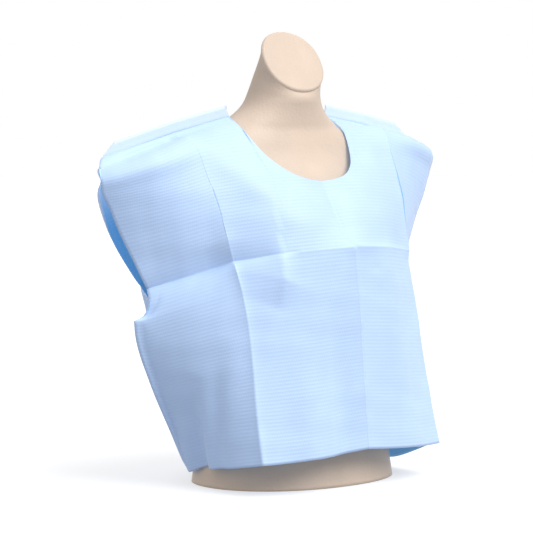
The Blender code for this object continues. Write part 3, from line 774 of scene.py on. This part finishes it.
def flat_area(flat):
    """The area of a sheet's flat cut: half the cross product of each cell's diagonals."""
    down = flat[1:, 1:] - flat[:-1, :-1]
    across = flat[:-1, 1:] - flat[1:, :-1]
    return float(np.abs(down[..., 0] * across[..., 1] - down[..., 1] * across[..., 0]).sum() / 2)


# ---------------------------------------------------------------- meshes
def linked(name, mesh):
    """A new smooth-shaded object in the scene, at the origin."""
    mesh.shade_smooth()
    obj = bpy.data.objects.new(name, mesh)
    bpy.context.scene.collection.objects.link(obj)
    return obj


def grid_mesh(name, grid, flat):
    """Quads over a grid's points that aren't NaN, with the flat coordinates as the UV map."""
    paper = ~np.isnan(grid[..., 0])
    index = np.cumsum(paper).reshape(paper.shape) - 1
    whole = paper[:-1, :-1] & paper[1:, :-1] & paper[1:, 1:] & paper[:-1, 1:]
    quads = np.stack([index[:-1, :-1], index[1:, :-1], index[1:, 1:], index[:-1, 1:]], axis=-1)
    mesh = bpy.data.meshes.new(name)
    mesh.from_pydata(grid[paper], [], quads[whole])
    corner = np.zeros(len(mesh.loops), np.int32)
    mesh.loops.foreach_get("vertex_index", corner)
    layer = mesh.uv_layers.new(name="flat")
    layer.data.foreach_set("uv", flat[paper][corner].ravel())
    return mesh


def paper_sheet(name, grid, flat, form, settings):
    """A sheet of paper that rests on the form: a grid, kept clear of it, with a thin wall."""
    sheet = linked(name, grid_mesh(name, grid, flat))
    # Each face gets its colour and its painted glows: emission that stands in for light through the
    # paper.
    for face, colour, *painted_glows in (
        ("paper_outside", settings.colour, PAINTED_GLOW_OUTSIDE, PAINTED_GLOW_OUTSIDE),
        # Painted shade: the inside face gets a darker, more saturated copy of the paper's colour in
        # place of the shade and the light through the paper inside the cape.
        ("paper_inside", settings.shaded_inside_colour, PAINTED_GLOW_SHALLOW, PAINTED_GLOW_DEEP),
    ):
        painted_glows = [shade(painted_glow, settings.painted_glow) for painted_glow in painted_glows]
        sheet.data.materials.append(paper_material(face, settings, colour, *painted_glows))
    rest = sheet.modifiers.new("rest on the form", "SHRINKWRAP")
    rest.target = form
    rest.wrap_method = "NEAREST_SURFACEPOINT"
    rest.wrap_mode = "OUTSIDE"
    rest.offset = settings.rest_gap
    wall = sheet.modifiers.new("wall", "SOLIDIFY")
    wall.thickness = settings.thickness
    wall.offset = 0
    wall.use_quality_normals = True
    wall.material_offset = 1
    return sheet


# ---------------------------------------------------------------- the form's loft
def oval(half_width, fore, back):
    """Rings squarer than an ellipse, through front and back points (y, z); one row a ring."""
    angles = np.linspace(0, math.tau, RING_POINTS, endpoint=False)
    c, s = np.cos(angles), np.sin(angles)
    x = np.outer(half_width, np.sign(c) * np.abs(c) ** (2 / SECTION_POWER))
    share = (1 + np.sign(s) * np.abs(s) ** (2 / SECTION_POWER)) / 2
    plane = fore[:, None] + share[None, :, None] * (back - fore)[:, None]
    return np.concatenate([x[..., None], plane], axis=-1)


def level_rings():
    """Level rings up the torso; the depth differs in front of and behind the widest line."""
    heights = np.linspace(0, TORSO[-1].up, round(TORSO[-1].up / RING_STEP))
    half_width, fore, back, spine = through(TORSO, heights).T
    ones = np.ones_like(heights)
    points = oval(half_width, np.stack([-ones, heights], -1), np.stack([ones, heights], -1))
    depth = np.where(points[..., 1] < 0, (fore + spine)[:, None], (back - spine)[:, None])
    points[..., 1] = spine[:, None] + depth * points[..., 1]
    return points


def neck_rings():
    """Rings that tilt from the level collar into the slanted cap, and round its edge."""
    last = TORSO[-1]
    rows = [(0.0, last.fore, last.up, last.back, last.up, last.half_width)]
    rows += [(i + 1.0, *ring) for i, ring in enumerate(NECK)]
    at = np.linspace(0, len(NECK), NECK_RING_COUNT)[1:]
    fore, fore_up, back, back_up, half_width = through(rows, at).T
    rings = oval(half_width, np.stack([-fore, fore_up], -1), np.stack([back, back_up], -1))
    rim = NECK[-1]
    front, rear = np.array([-rim.fore, rim.fore_up]), np.array([rim.back, rim.back_up])
    along = (rear - front) / np.linalg.norm(rear - front)
    away = np.array([-along[1], along[0]])
    turns = np.radians(np.linspace(0, 90, CAP_STEPS + 1)[1:])
    inset = CAP_ROUND * (1 - np.cos(turns))[:, None]
    lift = away * CAP_ROUND * np.sin(turns)[:, None]
    front, rear = front + along * inset + lift, rear - along * inset + lift
    return np.concatenate([rings, oval(rim.half_width - inset[:, 0], front, rear)])


def display_form(settings):
    """The form as one closed loft: rings from base to cap, with both ends filled by fans.

    Where the level rings pass into the tilted ones each is averaged with its neighbours."""
    level = level_rings()
    rings = np.concatenate([level, neck_rings()])
    start, end = len(level) - BLEND_RINGS, len(level) + BLEND_RINGS
    for _ in range(BLEND_PASSES):
        rings[start:end] = (
            rings[start - 1:end - 1] + 2 * rings[start:end] + rings[start + 1:end + 1]
        ) / 4
    count = len(rings)
    index = np.arange(count * RING_POINTS).reshape(count, RING_POINTS)
    turned = np.roll(index, -1, axis=1)
    quads = np.stack([index[:-1], turned[:-1], turned[1:], index[1:]], axis=-1).reshape(-1, 4)
    ends = np.stack([rings[0].mean(axis=0), rings[-1].mean(axis=0)])
    points = np.concatenate([rings.reshape(-1, 3), ends])
    base = np.stack([turned[0], index[0], np.full(RING_POINTS, count * RING_POINTS)], axis=-1)
    cap = np.stack([index[-1], turned[-1], np.full(RING_POINTS, count * RING_POINTS + 1)], axis=-1)
    mesh = bpy.data.meshes.new("display_form")
    mesh.from_pydata(points, [], quads.tolist() + base.tolist() + cap.tolist())
    form = linked("display_form", mesh)
    mesh.materials.append(form_material(settings))
    return form


# ---------------------------------------------------------------- materials
# Painted light: emission glows stand in for the light that comes through the paper. There is a
# faint blue one on its outside, and inside a bright one near the top that passes into a darker one
# lower down.
PAINTED_GLOW_OUTSIDE = (0.005, 0.03, 0.15)
PAINTED_GLOW_SHALLOW = (0.55, 0.66, 0.80)
PAINTED_GLOW_DEEP = (0.05, 0.18, 0.36)
SHALLOW_TO, DEEP_FROM = 0.04, 0.16  # the drops between which one passes into the other
SEAL_PITCH = 0.0042  # between the marks of the sealed strip


def shade(colour, scale, add=0.0):
    """A colour with each part scaled, then raised, and 1 at most; opaque."""
    return [min(1.0, part * scale + add) for part in colour[:3]] + [1.0]


class Value:
    """A number socket of a material; arithmetic on it adds Math nodes."""

    def __init__(self, web, socket):
        self.web, self.socket = web, socket

    def __add__(self, other):
        return self.web.maths("ADD", self, other)

    def __sub__(self, other):
        return self.web.maths("SUBTRACT", self, other)

    def __rsub__(self, other):
        return self.web.maths("SUBTRACT", other, self)

    def __mul__(self, other):
        return self.web.maths("MULTIPLY", self, other)

    def __truediv__(self, other):
        return self.web.maths("DIVIDE", self, other)

    __radd__ = __add__
    __rmul__ = __mul__


class Web:
    """The nodes of one material, or of the world, round the shader it starts with."""

    def __init__(self, owner, shader="Principled BSDF", **constants):
        self.owner = owner
        owner.use_nodes = True
        self.nodes, self.links = owner.node_tree.nodes, owner.node_tree.links
        self.shader = self.nodes[shader]
        for socket, value in constants.items():
            self.shader.inputs[socket.replace("_", " ")].default_value = value

    def add(self, kind, settings=None, inputs=None, output=0):
        """A node of a kind: its settings first, then values or links for its sockets."""
        node = self.nodes.new("ShaderNode" + kind)
        for name, value in (settings or {}).items():
            if name == "stops":
                ramp = node.color_ramp
                ramp.elements[0].position, ramp.elements[0].color = value[0]
                ramp.elements[1].position, ramp.elements[1].color = value[-1]
                for position, colour in value[1:-1]:
                    ramp.elements.new(position).color = colour
            else:
                setattr(node, name, value)
        for socket, value in (inputs or {}).items():
            self.feed(node.inputs[socket], value)
        return Value(self, node.outputs[output])

    def maths(self, operation, *values):
        return self.add("Math", {"operation": operation}, dict(enumerate(values)))

    def feed(self, socket, value):
        if isinstance(value, Value):
            self.links.new(value.socket, socket)
        else:
            socket.default_value = value

    def ramp(self, value, start, end):
        """0 at start, 1 at end, smooth between."""
        return self.add(
            "MapRange",
            {"interpolation_type": "SMOOTHSTEP"},
            {"Value": value, "From Min": start, "From Max": end},
        )

    def mix(self, share, first, second):
        """A colour between two colours."""
        return self.add(
            "Mix", {"data_type": "RGBA"}, {"Factor": share, 6: first, 7: second}, output=2
        )

    def noise(self, vector, scale, detail=2.0, roughness=0.5):
        return self.add(
            "TexNoise",
            None,
            {"Vector": vector, "Scale": scale, "Detail": detail, "Roughness": roughness},
        )

    def finish(self, colour, roughness, height, distance):
        self.feed(self.shader.inputs["Base Color"], colour)
        self.feed(self.shader.inputs["Roughness"], roughness)
        bump = self.add("Bump", None, {"Strength": 1.0, "Distance": distance, "Height": height})
        self.feed(self.shader.inputs["Normal"], bump)
        return self.owner


def paper_material(name, settings, colour, shallow, deep):
    """Embossed paper: rows of short pressed dashes across the sheet, fine fibres, a pale strip.

    Painted light: an emission glow stands in for light that comes through the thin sheet, the
    shallow glow near the shoulders and the deep glow below."""
    if name in bpy.data.materials:
        return bpy.data.materials[name]
    web = Web(
        bpy.data.materials.new(name),
        Specular_IOR_Level=0.5,
        Sheen_Weight=0.15,
        Sheen_Roughness=0.45,
        Emission_Strength=1.0,
    )
    flat = web.add("UVMap", {"uv_map": "flat"})
    across = web.add("SeparateXYZ", None, {"Vector": flat})
    drop = Value(web, across.socket.node.outputs[1])
    row = drop / settings.rib_pitch
    wave = web.maths("COSINE", row * math.tau) * 0.5 + 0.5
    parity = web.maths("PINGPONG", web.maths("FLOOR", row + 0.5), 1.0)
    dash_wave = web.maths("COSINE", (across / settings.dash_pitch + parity * 0.5) * math.tau)
    dash = web.ramp(dash_wave, -0.9, 0.4)
    wander = web.noise(flat, 26.0)
    press = wave * (dash * 0.3 + 0.7) * (wander * 0.8 + 0.55)
    fibres = web.noise(flat, 900.0, 3.0, 0.6)
    crinkle = web.noise(flat, 55.0, 2.0)
    height = press + fibres * 0.2 + crinkle * 0.7
    sealed = 1.0 - web.ramp(drop, -0.0015, 0.0005)
    seal_marks = web.maths("COSINE", across / SEAL_PITCH * math.tau) * 0.5 + 0.5
    height = height * (1.0 - sealed * 0.6) + seal_marks * sealed * 0.5
    mottle = web.noise(flat, 9.0, 3.0)
    mottled = web.ramp(mottle * 0.8 + press * 0.2, 0.15, 0.85)
    tone = web.mix(mottled, shade(colour, 0.95), shade(colour, 1.04, 0.01))
    tone = web.mix(sealed * 0.8, tone, shade(colour, 0.6, 0.38))
    rough = web.ramp(mottle, 0.2, 0.8) * 0.12 + 0.44
    # Painted light: the glow passes from the bright shallow glow near the shoulders to the darker
    # deep glow lower down.
    painted_glow = web.mix(web.ramp(drop, SHALLOW_TO, DEEP_FROM), shallow, deep)
    web.feed(web.shader.inputs["Emission Color"], painted_glow)
    return web.finish(tone, rough, height, settings.rib_height)


def form_material(settings):
    """Skin-toned moulded plastic: satin, faintly mottled, with a fine orange peel."""
    web = Web(bpy.data.materials.new("form_plastic"), Specular_IOR_Level=0.4)
    place = web.add("TexCoord", None, None, output=3)
    mottle = web.noise(place, 7.0, 4.0, 0.55)
    speck = web.noise(place, 420.0, 2.0, 0.6)
    mottled = web.ramp(mottle * 0.8 + speck * 0.2, 0.35, 0.65)
    tone = web.mix(mottled, shade(settings.colour, 0.93), shade(settings.colour, 1.05))
    rough = mottle * 0.12 + 0.40
    peel = web.noise(place, 260.0, 2.0, 0.5)
    return web.finish(tone, rough, peel + speck * 0.3, 0.0004)


def floor_material():
    """Matt white studio floor with the faintest mottle."""
    web = Web(
        bpy.data.materials.new("studio_floor"),
        Emission_Color=(1.0, 1.0, 1.0, 1.0),
        Emission_Strength=0.55,
    )
    place = web.add("TexCoord", None, None, output=3)
    mottle = web.noise(place, 3.0, 2.0)
    tone = web.mix(mottle, (0.49, 0.49, 0.49, 1.0), (0.51, 0.51, 0.51, 1.0))
    return web.finish(tone, mottle * 0.1 + 0.8, mottle, 0.0002)


# ---------------------------------------------------------------- what a user may change
class CapeSettings(PropertyGroup):
    thickness: FloatProperty(
        name="Paper thickness", description="Wall of the paper", default=0.0005, unit="LENGTH"
    )
    rest_gap: FloatProperty(
        name="Rest gap", description="Between the paper and the form", default=0.0009, unit="LENGTH"
    )
    rib_pitch: FloatProperty(
        name="Rib pitch", description="Between rows of embossing", default=0.0054, unit="LENGTH"
    )
    dash_pitch: FloatProperty(
        name="Dash pitch", description="Between dashes in a row", default=0.0042, unit="LENGTH"
    )
    rib_height: FloatProperty(
        name="Rib height", description="Depth of the embossing", default=0.00013, unit="LENGTH"
    )
    cockle: FloatProperty(
        name="Cockle", description="Gentle unevenness of the sheet", default=0.00025, unit="LENGTH"
    )
    fold_strength: FloatProperty(
        name="Fold strength", description="Scale of all the creases", default=1.0, min=0.0, max=2.0
    )
    colour: FloatVectorProperty(
        name="Colour",
        description="Outside of the paper",
        default=(0.50, 0.66, 0.90, 1.0),
        size=4,
        subtype="COLOR",
    )
    # Painted shade: a darker, more saturated copy of the paper's colour for the inside face, which
    # stands in for the shade inside the cape.
    shaded_inside_colour: FloatVectorProperty(
        name="Inside colour",
        description="Inside of the paper",
        default=(0.30, 0.55, 0.80, 1.0),
        size=4,
        subtype="COLOR",
    )
    # Strength of the painted glows that stand in for light through the paper.
    painted_glow: FloatProperty(
        name="Glow", description="Light that comes through the paper", default=0.50
    )


class FormSettings(PropertyGroup):
    colour: FloatVectorProperty(
        name="Colour",
        description="Moulded plastic of the form",
        default=(0.66, 0.53, 0.43, 1.0),
        size=4,
        subtype="COLOR",
    )


class StageSettings(PropertyGroup):
    key: FloatProperty(name="Key light", description="Strength of the soft light", default=2.45)
    softness: FloatProperty(name="Softness", description="Degrees the light spans", default=50.0)
    from_above: FloatProperty(name="From above", description="Light of the sky", default=0.85)
    from_below: FloatProperty(name="From below", description="Light from the ground", default=0.30)
    lens: FloatProperty(name="Lens", description="Focal length", default=174.6, unit="CAMERA")
    floor: FloatProperty(
        name="Floor", description="Radius of the floor", default=14.0, unit="LENGTH"
    )


# ---------------------------------------------------------------- operators
class EXAMCAPE_OT_form(Operator):
    """Build the limbless torso form that carries the cape"""

    bl_idname = "examcape.form"
    bl_label = "Torso form"

    def execute(self, context):
        form = display_form(context.scene.exam_form)
        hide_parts("torso_form")
        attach(form, "root")
        return {"FINISHED"}


def declare_sheet(sheet, node, flat):
    """Hides the CAD node that a sheet stands for, works out the area of the sheet's flat cut
    without keeping it, and attaches the sheet to the root.
    """
    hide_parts(node)
    flat_area(flat)
    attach(sheet, "root")


class EXAMCAPE_OT_front(Operator):
    """Build the front sheet of the cape"""

    bl_idname = "examcape.front"
    bl_label = "Front sheet"

    def execute(self, context):
        settings = context.scene.exam_cape
        grid, flat = front_sheet_grid(settings)
        sheet = paper_sheet("front_sheet", grid, flat, bpy.data.objects["display_form"], settings)
        declare_sheet(sheet, "front_panel", flat)
        return {"FINISHED"}


class EXAMCAPE_OT_backs(Operator):
    """Build the two back halves, the wearer's left one lapped over the right one"""

    bl_idname = "examcape.backs"
    bl_label = "Back halves"

    def execute(self, context):
        settings = context.scene.exam_cape
        form = bpy.data.objects["display_form"]
        for name, node, side in (
            ("back_right_sheet", "back_right", RIGHT),
            ("back_left_sheet", "back_left", LEFT),
        ):
            grid, flat = back_sheet_grid(side, settings)
            sheet = paper_sheet(name, grid, flat, form, settings)
            declare_sheet(sheet, node, flat)
        return {"FINISHED"}


CAMERA_PLACE = Vector((-2.592, -2.779, 0.564))
CAMERA_AIM = Vector((-0.0285, 0.0266, 0.312))
CAMERA_REACH = 100.0
KEY_FROM = Vector((0.25, -1.0, 1.20))
FLOOR_POINTS = 96


class EXAMCAPE_OT_stage(Operator):
    """Set up the pale floor, the soft light and the camera"""

    bl_idname = "examcape.stage"
    bl_label = "Studio"

    def execute(self, context):
        settings = context.scene.exam_stage
        scene = context.scene
        angles = np.linspace(0, math.tau, FLOOR_POINTS, endpoint=False)
        ring = np.stack([np.cos(angles), np.sin(angles), 0 * angles], axis=-1) * settings.floor
        mesh = bpy.data.meshes.new("studio_floor")
        mesh.from_pydata(ring, [], [list(range(len(ring)))])
        floor = linked("studio_floor", mesh)
        mesh.materials.append(floor_material())
        floor.visible_diffuse = False

        web = Web(bpy.data.worlds.new("studio"), "Background", Color=(1.0, 1.0, 1.0, 1.0))
        height = web.add("SeparateXYZ", None, {"Vector": web.add("TexCoord")}, output=2)
        reach = {"To Min": settings.from_below, "To Max": settings.from_above}
        light = web.add("MapRange", None, {"Value": height, "From Min": -1.0, **reach})
        seen = web.add("LightPath")
        level = web.add("MapRange", None, {"Value": seen, "To Min": light, "To Max": 1.0})
        web.feed(web.shader.inputs["Strength"], level)
        scene.world = web.owner

        lamp = bpy.data.lights.new("key", "SUN")
        lamp.angle = math.radians(settings.softness)
        lamp.energy = settings.key
        key = bpy.data.objects.new("key", lamp)
        scene.collection.objects.link(key)
        key.rotation_euler = (-KEY_FROM).to_track_quat("-Z", "Y").to_euler()

        lens = bpy.data.cameras.new("camera")
        lens.lens = settings.lens
        lens.clip_end = CAMERA_REACH
        camera = bpy.data.objects.new("camera", lens)
        scene.collection.objects.link(camera)
        camera.location = CAMERA_PLACE
        camera.rotation_euler = (CAMERA_AIM - CAMERA_PLACE).to_track_quat("-Z", "Y").to_euler()
        scene.camera = camera
        scene.view_settings.view_transform = "Standard"
        return {"FINISHED"}


class EXAMCAPE_PT_panel(Panel):
    """Lists the pieces and the studio"""

    bl_idname = "EXAMCAPE_PT_panel"
    bl_label = "Exam cape"
    bl_space_type = "VIEW_3D"
    bl_region_type = "UI"
    bl_category = "Exam cape"

    def draw(self, context):
        scene = context.scene
        for group in (scene.exam_cape, scene.exam_form, scene.exam_stage):
            box = self.layout.box()
            for name in group.__annotations__:
                box.prop(group, name)
        for operator in OPERATORS:
            self.layout.operator(operator.bl_idname)


GROUPS = {"exam_cape": CapeSettings, "exam_form": FormSettings, "exam_stage": StageSettings}
OPERATORS = (EXAMCAPE_OT_form, EXAMCAPE_OT_front, EXAMCAPE_OT_backs, EXAMCAPE_OT_stage)
CLASSES = (*GROUPS.values(), *OPERATORS, EXAMCAPE_PT_panel)


def register():
    for item in CLASSES:
        bpy.utils.register_class(item)
    for name, group in GROUPS.items():
        setattr(bpy.types.Scene, name, PointerProperty(type=group))


def unregister():
    for name in GROUPS:
        delattr(bpy.types.Scene, name)
    for item in reversed(CLASSES):
        bpy.utils.unregister_class(item)


def main():
    register()
    bpy.ops.examcape.form()
    bpy.ops.examcape.front()
    bpy.ops.examcape.backs()
    bpy.ops.examcape.stage()


if __name__ == "__main__":
    main()
